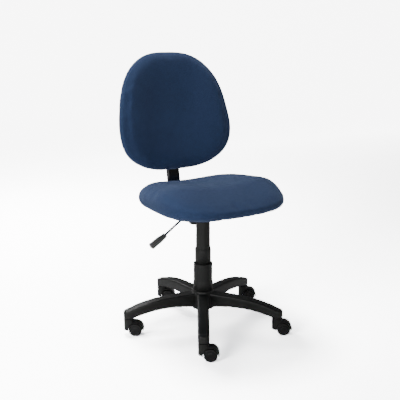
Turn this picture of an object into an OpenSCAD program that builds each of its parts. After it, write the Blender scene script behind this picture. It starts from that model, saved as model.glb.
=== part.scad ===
// Swivel office chair with a telescopic gas column, a fixed seat pan, and a back that adjusts in height and depth.
// Millimetres. The origin is on the floor under the swivel axis, +Z is up, and the sitter faces -Y.

/* [Casters] */
// Diameter of each wheel
wheel_d = 50; // [44:1:56]
// Width of one wheel
wheel_w = 17.6; // [14:0.2:20]
// Distance from the stem to the axle
caster_trail = 23.6; // [21:0.2:27]
// Diameter of the caster stem
stem_d = 11; // [9:0.5:12]
// Wall of the hood over the wheels
hood_wall = 4.4; // [3:0.2:6]
// Diameter of the axle
axle_d = 6; // [5:0.5:8]
// Height of the arm ends above the floor
arm_clearance = 68; // [66:1:76]
// Direction in which the casters trail, from +X
trail_turn = -30; // [-180:1:180]

/* [Five-star base] */
// Radius of the circle through the caster stems
stem_circle_r = 290; // [240:1:340]
// Width of an arm
arm_w = 41; // [36:0.5:48]
// Height of an arm at its tip
arm_tip_h = 31; // [26:1:38]
// Height of the arms' upper edge where they leave the hub, above the floor
arm_crown = 134; // [126:1:138]
// Rise of the arch under an arm
arm_arch = 24; // [12:1:28]
// Height of the hub
hub_h = 72; // [68:1:80]
// Diameter of the hub
hub_d = 86; // [80:1:100]
// Thickness of the arm walls
arm_wall = 3.6; // [3:0.1:5]
// Thickness of the ribs along the arms
arm_rib = 3; // [2.4:0.1:4]
// Direction of the first arm, from +X
base_turn = 240; // [0:1:359]

/* [Gas lift] */
// Outer diameter of the column tube
tube_d = 50; // [48:0.5:52]
// Height of the column tube's top edge above the floor
tube_top = 288; // [280:1:292]
// Wall of the column tube
tube_wall = 2; // [1.5:0.1:2.5]
// Diameter of the gas cylinder
cylinder_d = 28; // [26:0.5:30]
// Diameter of the piston rod
rod_d = 10; // [8:0.5:12]
// Travel of the seat height
lift_travel = 120; // [90:1:125]
// Height of the gas cylinder's top above the floor, fully raised
cylinder_top = 455; // [450:1:460]

/* [Column cover] */
// Height of the lower cover's top edge
lower_cover_top = 252; // [246:1:258]
// Height of the middle cover's top edge, fully raised
middle_cover_top = 310; // [304:1:316]
// Height of the upper cover's top edge, fully raised
upper_cover_top = 414; // [410:1:414]
// Wall of the covers
cover_wall = 1.6; // [1.2:0.1:2]

/* [Mechanism] */
// Width of the pan
pan_w = 76; // [72:1:90]
// Length of the pan's box
pan_l = 176; // [170:1:190]
// Sheet thickness of the pan
pan_t = 2.5; // [2:0.1:3]
// Diameter of the lever rod
lever_d = 8; // [5.5:0.1:8.2]
// Slope of the lever below the horizontal
lever_drop = 35; // [30:1:38]
// Length of the sloping part of the lever, up to the grip
lever_l = 138; // [110:1:160]
// Length of the lever grip
grip_l = 70; // [55:1:85]
// Diameter of the lever grip
grip_d = 22; // [17:0.5:24]
// Diameter of the clamp knobs
knob_d = 50; // [42:1:54]
// Height of the clamp knobs
knob_h = 32; // [26:1:36]

/* [Back bar] */
// Width of the bar
bar_w = 56; // [44:1:58]
// Thickness of the bar
bar_t = 14; // [12:0.5:16]
// Wall of the bar
bar_wall = 2; // [1.5:0.1:2.5]
// Bend radius of the bar on its centre line
bar_bend_r = 60; // [50:1:70]
// Height of the bar's horizontal leg above the floor
bar_z = 465; // [463:1:466]

/* [Seat] */
// Width of the seat
seat_w = 492; // [440:1:540]
// Depth of the seat
seat_l = 462; // [420:1:500]
// How far the seat's middle lies in front of the swivel axis
seat_ahead = 54; // [40:1:60]
// Height of the seat board's underside
board_z = 490; // [488:1:494]
// Thickness of the seat board
board_t = 12; // [10:0.5:15]
// Thickness of the seat foam over the board
seat_foam = 76; // [55:1:86]

/* [Backrest] */
// Width of the back
back_w = 460; // [420:1:500]
// Height of the back
back_h = 452; // [400:1:490]
// Height of the back's middle above the floor
back_z = 795; // [780:1:820]
// How far the back's middle lies behind the swivel axis
back_y = 252; // [245:1:262]
// Recline of the back from the vertical
back_recline = 10.5; // [8:0.5:13]
// Radius of the back's wrap around the sitter
back_wrap_r = 700; // [600:10:900]
// Thickness of the back foam
back_foam = 42; // [34:1:50]

/* [Hidden] */
$fn = 64;
ARMS = 5;
SMALL = 0.02;
RUN = 0.05;
wheel_r = wheel_d / 2;
web_half = 3.3;
wheel_in = web_half + 0.5;
wheel_out = wheel_in + wheel_w;
pocket_r = wheel_r + 1.4;
hood_r = pocket_r + hood_wall;
hood_half = wheel_out - 4.4;
boss_r = 19.5;
hood_top = arm_clearance - 2;
stem_seat = wheel_r + sqrt(pow(pocket_r, 2) - pow(caster_trail - stem_d / 2, 2)) + 3.8;
axle_half = wheel_out - 3;
stem_top = arm_clearance + arm_tip_h - 7;

hub_bottom = arm_clearance + 6;
hub_top = hub_bottom + hub_h;
tube_r = tube_d / 2;
tube_in = tube_r - tube_wall;
tube_bottom = hub_bottom - 12;
tube_taper = 1;
ring_t = 4;
floor_t = 4;
race_z = tube_bottom + floor_t;
cage_z = race_z + 1.6;
shoulder_z = cage_z + 5;
cylinder_r = cylinder_d / 2;
cylinder_bottom = cylinder_top - lift_travel - 85;
bushing_l = 96;
hub_tube_r = 18.5;
hub_tube_bottom = upper_cover_top + 1;

upper_in = tube_r + 0.2;
upper_r = upper_in + cover_wall;
middle_in = upper_r + 0.5;
middle_r = middle_in + cover_wall + 0.2;
lower_in = middle_r + 0.6;
lower_r = lower_in + cover_wall + 1.8;
upper_cover_l = 114;
middle_cover_l = 76;

pan_floor = 447;
pan_y = 24;
flange_w = 150;
flange_l = 200;
bolt_x = 60;
bolt_y = 82;
arm_bolt_x = seat_w / 2 - 68;
arm_bolt_gap = 110;
arm_bolt_y = -seat_ahead;
bolt_r = 3;
tee_r = 4.2;
tee_flange_r = 9;
lever_z = cylinder_top + 11.5;
pivot_x = -25;
pin_r = 2;
button_r = 4;
press_gap = 0.35;
bend_x = -pan_w / 2 - 5;
bar_gap = 0.25;
sleeve_wall = 2;
sleeve_in_w = bar_w + 2 * bar_gap;
sleeve_in_t = bar_t + 2 * bar_gap;
sleeve_out_w = sleeve_in_w + 2 * sleeve_wall;
sleeve_out_t = sleeve_in_t + 2 * sleeve_wall;
sleeve_y0 = 30;
sleeve_y1 = 122;
bar_front_y = 24;
clamp_y = 58;
clamp_boss_h = 20;
clamp_boss_r = 10;
pad_r = 8;
stud_r = 4;

seat_n = 2.9;
board_inset = 45;
foam_pocket = board_inset - 3;
cover_inset = board_inset + 20;
cushion_bottom = board_z + 2;
seat_top = board_z + board_t + seat_foam;

back_n = 2.65;
back_egg = 0.15;
back_board_t = 10;
back_board_inset = 16;
foam_gap = 0.15;
bar_w_off = 26;
sleeve_v0 = -150;
sleeve_v1 = -30;
bar_top_v = 60;
knob_v = -95;
shell_t = 3;
shell_bulge = bar_w_off + sleeve_out_t / 2 + shell_t + 4.75;
shell_inset = 7;
bracket_x = 36;

// ---- shared shapes ----

// Points of a superellipse with half-width a, half-height b and exponent n; egg widens the lower half.
function outline(a, b, n, egg = 0, k = 48) = [
  for (i = [0:k - 1])
    let (t = 360 * i / k)
    let (r = pow(pow(abs(cos(t)), n) + pow(abs(sin(t)), n), -1 / n))
    let (u = r * cos(t))
    let (v = r * sin(t))
    [a * u * (1 - egg * v), b * v]
];

function reversed(list) = [for (i = [len(list) - 1:-1:0]) list[i]];

// A closed solid through a list of rings of points, closed at each end by a fan round a middle point.
module loft(rings, first, last) {
  n = len(rings[0]);
  m = len(rings);
  all_points = concat([for (r = rings) for (p = r) p], [first, last]);
  sides = [
    for (i = [0:m - 2]) for (j = [0:n - 1])
      let (a = i * n + j, b = i * n + (j + 1) % n)
      for (f = [[a, a + n, b], [b, a + n, b + n]]) f
  ];
  bottom = [for (j = [0:n - 1]) [n * m, j, (j + 1) % n]];
  top = [for (j = [0:n - 1]) [n * m + 1, (m - 1) * n + (j + 1) % n, (m - 1) * n + j]];
  polyhedron(points = all_points, faces = concat(sides, bottom, top));
}

// A ring of revolution between two radii that may change from bottom to top.
module taper_ring(z0, z1, in0, in1, out0, out1) {
  rotate_extrude() polygon([[in0, z0], [out0, z0], [out1, z1], [in1, z1]]);
}

module tube_ring(z0, z1, r_in, r_out) {
  taper_ring(z0, z1, r_in, r_in, r_out, r_out);
}

// A flat bar section with round edges, w wide and t thick, exact arcs.
module bar_section(w, t) {
  square([w - t, t], center = true);
  for (s = [-1, 1]) translate([s * (w - t) / 2, 0]) circle(d = t);
}

// Puts children in the back's own frame: X across, Y to the rear, Z up along the back.
module in_back() {
  translate([0, back_y, back_z]) rotate([-back_recline, 0, 0]) children();
}

// ---- five-star base ----

function base_angle(k) = base_turn + 360 * k / ARMS;

module at_arm(k) {
  rotate([0, 0, base_angle(k)]) children();
}

module at_caster(k) {
  a = base_angle(k);
  translate([stem_circle_r * cos(a), stem_circle_r * sin(a), 0]) rotate([0, 0, trail_turn]) children();
}

// Height of an arm's top and underside at the share s of its length, 0 at the hub and 1 at the stem.
function arm_top(s) = arm_crown - (arm_crown - arm_clearance - arm_tip_h) * pow(s, 3.6) + 8 * pow(1 - s, 6);
function arm_under(s) = arm_clearance + arm_arch * sin(180 * (0.12 + 0.76 * s)) * (1 - pow(s, 6));

// One section across an arm, half-width h, with round top edges of radius r.
function arm_ring(x, h, top, under, r) = concat(
  [[x, h, under]],
  [for (a = [0:22.5:90]) [x, h - r + r * cos(a), top - r + r * sin(a)]],
  [for (a = [90:22.5:180]) [x, -h + r + r * cos(a), top - r + r * sin(a)]],
  [[x, -h, under]]
);

module arm_solid() {
  half = arm_w / 2;
  end_r = half - 0.5;
  straight = [
    for (i = [0:20])
      let (s = i / 20)
      arm_ring(s * stem_circle_r, half + 3 * (1 - s) * (1 - s), arm_top(s), arm_under(s), 6)
  ];
  round_end = [
    for (a = [15:15:75])
      arm_ring(stem_circle_r + end_r * sin(a), end_r * cos(a), arm_top(1) - 11 * (1 - cos(a)), arm_clearance,
        6 * cos(a))
  ];
  tip = stem_circle_r + end_r;
  loft(concat(straight, round_end), [0, 0, (hub_top + hub_bottom) / 2], [tip, 0, arm_clearance + arm_tip_h / 2]);
}

// The hollow under an arm between the shares s0 and s1, open below, as three channels between two long ribs.
module arm_hollow(s0, s1) {
  half = arm_w / 2 - arm_wall;
  channel = (2 * half - 2 * arm_rib) / 3;
  rings = [
    for (i = [0:2])
      let (s = s0 + (s1 - s0) * i / 2)
      arm_ring(s * stem_circle_r, channel / 2, arm_top(s) - arm_wall, arm_under(s) - 20, 2)
  ];
  x0 = s0 * stem_circle_r;
  x1 = s1 * stem_circle_r;
  for (lane = [-1:1]) translate([0, lane * (channel + arm_rib), 0])
    loft(rings, [x0, 0, arm_clearance], [x1, 0, arm_clearance]);
}

module five_star_base() {
  rib = 0.012;
  starts = [0.2, 0.44, 0.66];
  ends = [0.44 - rib, 0.66 - rib, 0.9];
  color("#1d1e1d") difference() {
    union() {
      for (k = [0:ARMS - 1]) at_arm(k) arm_solid();
      taper_ring(hub_bottom, hub_top, 0, 0, hub_d / 2, hub_d / 2 - 3);
    }
    for (k = [0:ARMS - 1]) at_arm(k) {
      for (i = [0:2]) arm_hollow(starts[i], ends[i]);
      translate([stem_circle_r, 0, arm_clearance - 1]) cylinder(d = stem_d + 2 * RUN, h = arm_tip_h - 4.5);
    }
    translate([0, 0, arm_clearance - 30]) cylinder(r = tube_r + ring_t, h = hub_top - arm_clearance + 32);
    translate([0, 0, arm_clearance - 30]) cylinder(d = hub_d - 8, h = hub_bottom - arm_clearance + 30 + 8);
  }
}

ring_bottom = hub_bottom + 8;

// Outside radius of the tapered tube at height z, below the hub's top.
function tube_at(z) = tube_r - tube_taper * (hub_top - z) / (hub_top - tube_bottom);

module hub_ring() {
  color("#8d9092")
    taper_ring(ring_bottom, hub_top, tube_at(ring_bottom) + SMALL, tube_r + SMALL, tube_r + ring_t - SMALL,
      tube_r + ring_t - SMALL);
}

module caster_stems() {
  color("#b9bcbe") for (k = [0:ARMS - 1]) at_caster(k) {
    translate([0, 0, stem_seat + 0.5]) cylinder(d = stem_d, h = stem_top - stem_seat - 0.5);
    translate([0, 0, hood_top + 0.3]) cylinder(r = stem_d / 2 + 4.5, h = arm_clearance - hood_top - 0.35);
  }
}

// ---- casters ----

module along_axle(r, half) {
  translate([caster_trail, half, wheel_r]) rotate([90, 0, 0]) cylinder(r = r, h = 2 * half);
}

module caster_hood(k) {
  far = 80;
  skirt_z = wheel_r - 4;
  color("#1b1c1b") at_caster(k) difference() {
    union() {
      translate([0, 0, wheel_r - 3]) cylinder(r = boss_r, h = hood_top - wheel_r + 3);
      difference() {
        along_axle(hood_r, hood_half);
        translate([-far, -far, skirt_z - far]) cube([2 * far, 2 * far, far]);
      }
      along_axle(axle_d / 2 + 5, web_half);
    }
    for (s = [-1, 1])
      translate([caster_trail, s > 0 ? web_half + 40 : -web_half, wheel_r])
        rotate([90, 0, 0]) cylinder(r = pocket_r, h = 40);
    translate([0, 0, stem_seat]) cylinder(d = stem_d + 2 * RUN, h = 40);
    along_axle(axle_d / 2 + SMALL, 30);
  }
}

module caster_axle(k) {
  color("#a8abad") at_caster(k) along_axle(axle_d / 2, axle_half);
}

// One wheel, with a rounded tread, a shallow dish in its outer face and a blind bore for the axle.
module caster_wheel(k, side) {
  edge = 2.2;
  dish_r = wheel_r - 4.5;
  dish = 1.2;
  bore = axle_d / 2 + RUN;
  blind = axle_half - wheel_in + 0.6;
  profile = concat(
    [[bore, 0], [wheel_r - edge, 0]],
    [for (a = [-60:30:0]) [wheel_r - edge + edge * cos(a), edge + edge * sin(a)]],
    [for (a = [0:30:90]) [wheel_r - edge + edge * cos(a), wheel_w - edge + edge * sin(a)]],
    [[dish_r, wheel_w], [dish_r - dish, wheel_w - dish], [8, wheel_w - dish], [7, wheel_w - 0.3], [0, wheel_w]],
    [[0, blind], [bore, blind]]
  );
  color("#151615") at_caster(k) translate([caster_trail, side * wheel_in, wheel_r])
    rotate([-side * 90, 0, 0]) rotate_extrude() polygon(profile);
}

// ---- gas lift ----

module column_tube() {
  taper_z = hub_top;
  color("#2a2b2c") difference() {
    rotate_extrude() polygon([
      [0, tube_bottom], [tube_r - tube_taper, tube_bottom], [tube_r, taper_z], [tube_r, tube_top],
      [tube_in, tube_top], [tube_in, taper_z], [tube_in - tube_taper, race_z], [0, race_z]
    ]);
    translate([0, 0, tube_bottom - 1]) cylinder(r = rod_d / 2 + RUN, h = floor_t + 2);
  }
}

module guide_bushing() {
  color("#d8d8d0") {
    tube_ring(tube_top - bushing_l, tube_top + 1.5, cylinder_r + RUN, tube_in - SMALL);
  }
}

module bearing_race() {
  color("#b0b3b5") tube_ring(race_z, cage_z - 0.1, rod_d / 2 + 1.2, 15);
}

module thrust_bearing() {
  balls = 10;
  color("#c9ccce") {
    difference() {
      tube_ring(cage_z + 0.8, cage_z + 2.6, rod_d / 2 + 1.4, 14.6);
      for (i = [0:balls - 1]) rotate([0, 0, 360 * i / balls]) translate([10.4, 0, cage_z]) cylinder(r = 2, h = 6);
    }
    for (i = [0:balls - 1]) rotate([0, 0, 360 * i / balls]) translate([10.4, 0, cage_z + 1.75]) sphere(r = 1.7);
    tube_ring(cage_z + 3.5, shoulder_z - 0.05, rod_d / 2 + SMALL, 15);
  }
}

module piston_rod() {
  head = 6;
  head_z = cylinder_bottom + 10;
  foot = tube_bottom - 7;
  groove = tube_bottom - 4;
  r = rod_d / 2;
  color("#c4c8ca") rotate_extrude() polygon([
    [0, foot], [r, foot], [r, groove], [r - 0.9, groove], [r - 0.9, groove + 1.3], [r, groove + 1.3],
    [r, shoulder_z], [r + 3, shoulder_z], [r + 3, shoulder_z + 2], [r, shoulder_z + 2],
    [r, head_z], [cylinder_r - 2 - RUN, head_z], [cylinder_r - 2 - RUN, head_z + head], [0, head_z + head]
  ]);
}

module retaining_clip() {
  groove = tube_bottom - 4;
  color("#9a9da0") difference() {
    tube_ring(groove + 0.1, groove + 1.2, rod_d / 2 - 0.88, rod_d / 2 + 3.5);
    translate([0, -1.5, groove - 1]) cube([20, 3, 4]);
  }
}

module gas_cylinder() {
  taper_z = hub_tube_bottom;
  valve_r = button_r + 0.1;
  color("#26282a") difference() {
    rotate_extrude() polygon([
      [0, cylinder_bottom], [cylinder_r, cylinder_bottom], [cylinder_r, taper_z],
      [cylinder_r - 0.9, cylinder_top], [0, cylinder_top]
    ]);
    translate([0, 0, cylinder_bottom + 8]) cylinder(r = cylinder_r - 2, h = cylinder_top - cylinder_bottom - 38);
    translate([0, 0, cylinder_bottom - 1]) cylinder(r = rod_d / 2 + RUN, h = 12);
    translate([0, 0, cylinder_top - 16]) cylinder(r = valve_r, h = 20);
  }
}

module valve_button() {
  foot = cylinder_top - 10;
  color("#d0d3d5") translate([0, 0, foot]) cylinder(r = button_r, h = lever_z - lever_d / 2 - press_gap - foot);
}

// ---- column cover ----

module cover_lower() {
  z0 = hub_top + 0.3;
  flare = 2.2;
  lip = 1.4;
  color("#1e1f1e") rotate_extrude() polygon([
    [lower_in, z0], [lower_r + flare, z0], [lower_r + flare - 0.6, z0 + 26], [lower_r, z0 + 40],
    [lower_r, lower_cover_top - 1], [lower_r - 1, lower_cover_top], [lower_in - lip + 1.1, lower_cover_top],
    [lower_in - lip + 1.1, lower_cover_top - 3], [lower_in, lower_cover_top - 4]
  ]);
}

module cover_middle() {
  z0 = middle_cover_top - middle_cover_l;
  color("#1e1f1e") rotate_extrude() polygon([
    [middle_in, z0], [middle_r, z0], [middle_r, middle_cover_top - 0.8], [middle_r - 0.8, middle_cover_top],
    [middle_in, middle_cover_top]
  ]);
}

module cover_upper() {
  z0 = upper_cover_top - upper_cover_l;
  lid_in = hub_tube_r - 3.5;
  color("#1e1f1e") rotate_extrude() polygon([
    [upper_in, z0], [upper_r, z0], [upper_r, z0 + 12], [upper_r - 0.8, upper_cover_top - 2],
    [upper_r - 1.6, upper_cover_top], [lid_in, upper_cover_top], [lid_in, upper_cover_top - cover_wall],
    [upper_in, upper_cover_top - cover_wall]
  ]);
}

// ---- mechanism ----

module mechanism_pan() {
  side = (flange_w - pan_w) / 2;
  hub_wall_top = cylinder_top - 3;
  ear_x = 8;
  ear_t = 2.5;
  ear_y = 4.6;
  z_in = pan_floor + pan_t;
  color("#232425") difference() {
    union() {
      difference() {
        translate([-pan_w / 2, pan_y - pan_l / 2, pan_floor]) cube([pan_w, pan_l, board_z - pan_floor]);
        translate([-pan_w / 2 + pan_t, pan_y - pan_l / 2 + pan_t, z_in])
          cube([pan_w - 2 * pan_t, pan_l - 2 * pan_t, 60]);
      }
      translate([-flange_w / 2, pan_y - flange_l / 2, board_z - pan_t]) difference() {
        cube([flange_w, flange_l, pan_t]);
        translate([side + pan_t, (flange_l - pan_l) / 2 + pan_t, -1])
          cube([pan_w - 2 * pan_t, pan_l - 2 * pan_t, pan_t + 2]);
      }
      translate([0, 0, hub_tube_bottom]) cylinder(r = hub_tube_r, h = hub_wall_top - hub_tube_bottom);
      translate([0, clamp_y, pan_floor - clamp_boss_h]) cylinder(r = clamp_boss_r, h = clamp_boss_h + 0.5);
      for (s = [-1, 1]) translate([pivot_x - ear_x / 2, s > 0 ? ear_y : -ear_y - ear_t, z_in - 0.1])
        cube([ear_x, ear_t, lever_z + 5 - z_in]);
    }
    taper_hub = cylinder_r - 0.9 + SMALL;
    rotate_extrude() polygon([
      [0, hub_tube_bottom - 0.01], [cylinder_r + SMALL, hub_tube_bottom - 0.01], [taper_hub, cylinder_top], [0, cylinder_top]
    ]);
    translate([-pan_w / 2 - 1, -5, pan_floor + 10]) cube([pan_t + 2, 10, board_z - pan_floor - 10 - pan_t - 1]);
    translate([0, pan_y + pan_l / 2 - pan_t / 2, bar_z])
      cube([sleeve_out_w + 2 * SMALL, pan_t + 2, sleeve_out_t + 2 * SMALL], center = true);
    translate([pivot_x, 12, lever_z]) rotate([90, 0, 0]) cylinder(r = pin_r + SMALL, h = 24);
    translate([0, clamp_y, pan_floor - clamp_boss_h - 1]) cylinder(r = stud_r + 0.5, h = clamp_boss_h + pan_t + 2);
    for (sx = [-1, 1]) for (sy = [-1, 1])
      translate([sx * bolt_x, pan_y + sy * bolt_y, board_z - 10]) cylinder(r = bolt_r + 0.3, h = 20);
  }
}

module bar_sleeve() {
  l = sleeve_y1 - sleeve_y0;
  color("#3a3c3e") difference() {
    translate([0, sleeve_y1, bar_z]) rotate([90, 0, 0]) linear_extrude(height = l)
      difference() {
        square([sleeve_out_w, sleeve_out_t], center = true);
        bar_section(sleeve_in_w, sleeve_in_t);
      }
    translate([0, clamp_y, bar_z - 30]) cylinder(r = pad_r + 0.1, h = 30);
  }
}

module lever_pin() {
  color("#b9bcbe") translate([pivot_x, 7.5, lever_z]) rotate([90, 0, 0]) cylinder(r = pin_r, h = 15);
}

// Inner end over the valve button, pivot boss, short straight, bend, then the slope down to the grip.
module lever_rod() {
  color("#202122") difference() {
    union() {
      translate([bend_x, 0, lever_z]) rotate([0, 90, 0]) cylinder(d = lever_d, h = 1 - bend_x);
      translate([bend_x, 0, lever_z]) sphere(d = lever_d);
      translate([bend_x, 0, lever_z]) rotate([0, -90 - lever_drop, 0]) cylinder(d = lever_d, h = lever_l + 20);
      translate([pivot_x, 4.2, lever_z]) rotate([90, 0, 0]) cylinder(r = pin_r + 2.6, h = 8.4);
    }
    translate([pivot_x, 12, lever_z]) rotate([90, 0, 0]) cylinder(r = pin_r + RUN, h = 24);
  }
}

module lever_grip() {
  grip_turn = lever_drop - 4;
  start = lever_d / 2 + 2;
  r = grip_d / 2;
  cx = bend_x - lever_l * cos(lever_drop);
  cz = lever_z - lever_l * sin(lever_drop);
  color("#3c3e40") difference() {
    translate([cx, 0, cz]) rotate([0, -90 - grip_turn, 0]) rotate_extrude() polygon([
      [0, 0], [start, 0], [start + 1, 1.5], [r * 0.74, 9], [r * 0.9, grip_l * 0.4], [r, grip_l * 0.74],
      [r * 0.97, grip_l * 0.88], [r * 0.8, grip_l - 2], [r * 0.45, grip_l], [0, grip_l]
    ]);
    translate([bend_x, 0, lever_z]) rotate([0, -90 - lever_drop, 0]) cylinder(d = lever_d + 2 * SMALL, h = lever_l + 20.5);
  }
}

// A clamp knob that points along +Z: a stud with its tip at 0 and a fluted head from z0 on.
module clamp_knob(z0) {
  r = knob_d / 2;
  flutes = 8;
  difference() {
    translate([0, 0, z0]) rotate_extrude() polygon([
      [0, 0], [9, 0], [11, 5], [r - 2, 7], [r, 9], [r, knob_h - 4], [r - 4, knob_h], [0, knob_h]
    ]);
    for (i = [0:flutes - 1]) rotate([0, 0, 360 * i / flutes])
      translate([r + 5, 0, z0 + 5.5]) cylinder(r = 8, h = knob_h);
  }
  cylinder(r = stud_r, h = z0 + 5);
}

pad_top = bar_z - bar_t / 2 - 0.04;
pad_t = 4;

module depth_pad() {
  color("#caa64a") translate([0, clamp_y, pad_top - pad_t]) cylinder(r = pad_r, h = pad_t);
}

module depth_knob() {
  tip = pad_top - pad_t - 0.04;
  color("#191a1a") translate([0, clamp_y, tip]) rotate([180, 0, 0]) clamp_knob(tip - pan_floor + clamp_boss_h + 4);
}

// ---- back bar ----

// The bar's middle line: a level leg, a bend, and a leg that leans back with the backrest.
function line_y(z) = back_y + bar_w_off * cos(back_recline) + (z - back_z + bar_w_off * sin(back_recline)) * tan(back_recline);
bend_sweep = 90 - back_recline;
bend_tangent = bar_bend_r * tan(bend_sweep / 2);
corner_y = line_y(bar_z);
bend_start_y = corner_y - bend_tangent;

// Outline of the bar's section, the same shape as bar_section, as points.
function oval(w, t) = concat(
  [for (a = [-90:22.5:90]) [(w - t) / 2 + t / 2 * cos(a), t / 2 * sin(a)]],
  [for (a = [90:22.5:270]) [-(w - t) / 2 + t / 2 * cos(a), t / 2 * sin(a)]]
);

// Stations along the middle line, each [y, z, slope], run past both ends by extra.
function bar_stations(extra) = concat(
  [[bar_front_y - extra, bar_z, 0]],
  [
    for (i = [0:12])
      let (turn = bend_sweep * i / 12)
      [bend_start_y + bar_bend_r * sin(turn), bar_z + bar_bend_r * (1 - cos(turn)), turn]
  ],
  [[
    back_y + bar_w_off * cos(back_recline) + (bar_top_v + extra) * sin(back_recline),
    back_z - bar_w_off * sin(back_recline) + (bar_top_v + extra) * cos(back_recline),
    bend_sweep
  ]]
);

module bar_path(w, t, extra) {
  stations = bar_stations(extra);
  rings = [
    for (s = stations) [for (p = oval(w, t)) [p[0], s[0] - p[1] * sin(s[2]), s[1] + p[1] * cos(s[2])]]
  ];
  first = stations[0];
  last = stations[len(stations) - 1];
  loft(reversed(rings), [0, last[0], last[1]], [0, first[0], first[1]]);
}

module back_bar() {
  color("#0e0f10") difference() {
    bar_path(bar_w, bar_t, 0);
    bar_path(bar_w - 2 * bar_wall, bar_t - 2 * bar_wall, 1);
  }
}

module bar_end_caps() {
  w = bar_w - 2 * bar_wall - 2 * SMALL;
  t = bar_t - 2 * bar_wall - 2 * SMALL;
  cap_t = 2;
  color("#141515") {
    translate([0, bar_front_y + 10, bar_z]) rotate([90, 0, 0]) linear_extrude(height = 10) polygon(oval(w, t));
    translate([0, bar_front_y, bar_z]) rotate([90, 0, 0]) linear_extrude(height = cap_t) polygon(oval(bar_w, bar_t));
    in_back() translate([0, bar_w_off, bar_top_v - 10]) linear_extrude(height = 10) polygon(oval(w, t));
    in_back() translate([0, bar_w_off, bar_top_v]) linear_extrude(height = cap_t) polygon(oval(bar_w, bar_t));
  }
}

// ---- seat ----

module at_seat() {
  translate([0, -seat_ahead, 0]) children();
}

module at_bolts() {
  for (sx = [-1, 1]) for (sy = [-1, 1]) translate([sx * bolt_x, pan_y + sy * bolt_y, 0]) children();
}

module at_arm_bolts() {
  for (sx = [-1, 1]) for (sy = [-1, 1])
    translate([sx * arm_bolt_x, arm_bolt_y + sy * arm_bolt_gap / 2, 0]) children();
}

module seat_board() {
  color("#c9a877") difference() {
    at_seat() translate([0, 0, board_z]) linear_extrude(height = board_t)
      polygon(outline(seat_w / 2 - board_inset, seat_l / 2 - board_inset, seat_n));
    at_bolts() translate([0, 0, board_z - 1]) cylinder(r = tee_r + SMALL, h = board_t + 2);
    at_arm_bolts() translate([0, 0, board_z - 1]) cylinder(r = tee_r + SMALL, h = board_t + 2);
  }
}

module tee_nuts() {
  module tee() {
    translate([0, 0, board_z + 1]) difference() {
      union() {
        cylinder(r = tee_r, h = board_t - 1);
        translate([0, 0, board_t - 1]) cylinder(r = tee_flange_r, h = 1.4);
      }
      translate([0, 0, -1]) cylinder(r = bolt_r, h = board_t + 4);
    }
  }
  color("#b9bcbe") {
    at_bolts() tee();
    at_arm_bolts() tee();
  }
}

module seat_bolts() {
  color("#55585a") at_bolts() {
    translate([0, 0, board_z - pan_t - 4.5]) cylinder(r = 6, h = 4.5);
    translate([0, 0, board_z - pan_t - 1]) cylinder(r = bolt_r - SMALL, h = board_t + pan_t);
  }
}

module seat_under_cover() {
  t = 1.8;
  gap = 3;
  color("#1c1d1d") difference() {
    at_seat() translate([0, 0, board_z - t - 0.02]) linear_extrude(height = t)
      polygon(outline(seat_w / 2 - cover_inset, seat_l / 2 - cover_inset, seat_n));
    translate([-flange_w / 2 - gap, pan_y - flange_l / 2 - gap, board_z - 10]) cube([flange_w + 2 * gap, flange_l + 2 * gap, 20]);
    at_arm_bolts() translate([0, 0, board_z - 10]) cylinder(r = tee_r + 2, h = 20);
  }
}

module tee_recess() {
  translate([0, 0, board_z + board_t]) cylinder(r = tee_flange_r + 1.5, h = 4);
}

// Seat foam as one plain crowned solid, with a pocket underneath for the board and the tee nuts.
module seat_cushion() {
  a = seat_w / 2;
  b = seat_l / 2;
  rise = seat_top - cushion_bottom;
  steps = [[0.93, 0], [0.985, 0.1], [1, 0.3], [0.985, 0.55], [0.93, 0.78], [0.84, 0.92], [0.7, 1]];
  rings = [
    for (s = steps) [for (p = outline(a * s[0], b * s[0], seat_n)) [p[0], p[1], cushion_bottom + rise * s[1]]]
  ];
  color("#30456b") at_seat() difference() {
    loft(rings, [0, 0, cushion_bottom], [0, 0, seat_top]);
    translate([0, 0, cushion_bottom - 1]) linear_extrude(height = board_z + board_t + 1 - cushion_bottom + 0.7)
      polygon(outline(a - foam_pocket, b - foam_pocket, seat_n));
    translate([0, seat_ahead, 0]) {
      at_bolts() tee_recess();
      at_arm_bolts() tee_recess();
    }
  }
}

// ---- backrest, in its own frame ----

// Depth of the wrap at x: the sides come forward.
function wrap(x) = -(back_wrap_r - sqrt(back_wrap_r * back_wrap_r - x * x));

function back_ring(share, w) = [
  for (p = outline(back_w / 2 * share, back_h / 2 * share, back_n, back_egg)) [p[0], w + wrap(p[0]), p[1]]
];

// A plate that follows the wrap, from w0 to w1, with the outline scaled by share.
module wrapped_plate(w0, w1, inset) {
  r = back_wrap_r;
  intersection() {
    translate([0, 80, 0]) rotate([90, 0, 0]) linear_extrude(height = 160)
      polygon(outline(back_w / 2 - inset, back_h / 2 - inset, back_n, back_egg));
    translate([0, -r, 0]) difference() {
      translate([0, 0, -back_h]) cylinder(r = r + w1, h = 2 * back_h, $fn = 360);
      translate([0, 0, -back_h - 1]) cylinder(r = r + w0, h = 2 * back_h + 2, $fn = 360);
    }
  }
}

board_w0 = 4;
board_w1 = board_w0 + back_board_t;

module at_bracket_screws() {
  for (sx = [-1, 1]) for (v = [sleeve_v0 + 15, sleeve_v1 - 15]) translate([sx * bracket_x, 0, v]) children();
}

module back_board() {
  color("#c9a877") in_back() difference() {
    wrapped_plate(board_w0 + foam_gap, board_w1, back_board_inset);
    at_bracket_screws() translate([0, 40, 0]) rotate([90, 0, 0]) cylinder(r = 2, h = 80);
    translate([-bracket_x - 9, board_w1 - 1.6, sleeve_v0 - 2]) cube([2 * bracket_x + 18, 10, sleeve_v1 - sleeve_v0 + 4]);
  }
}

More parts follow.
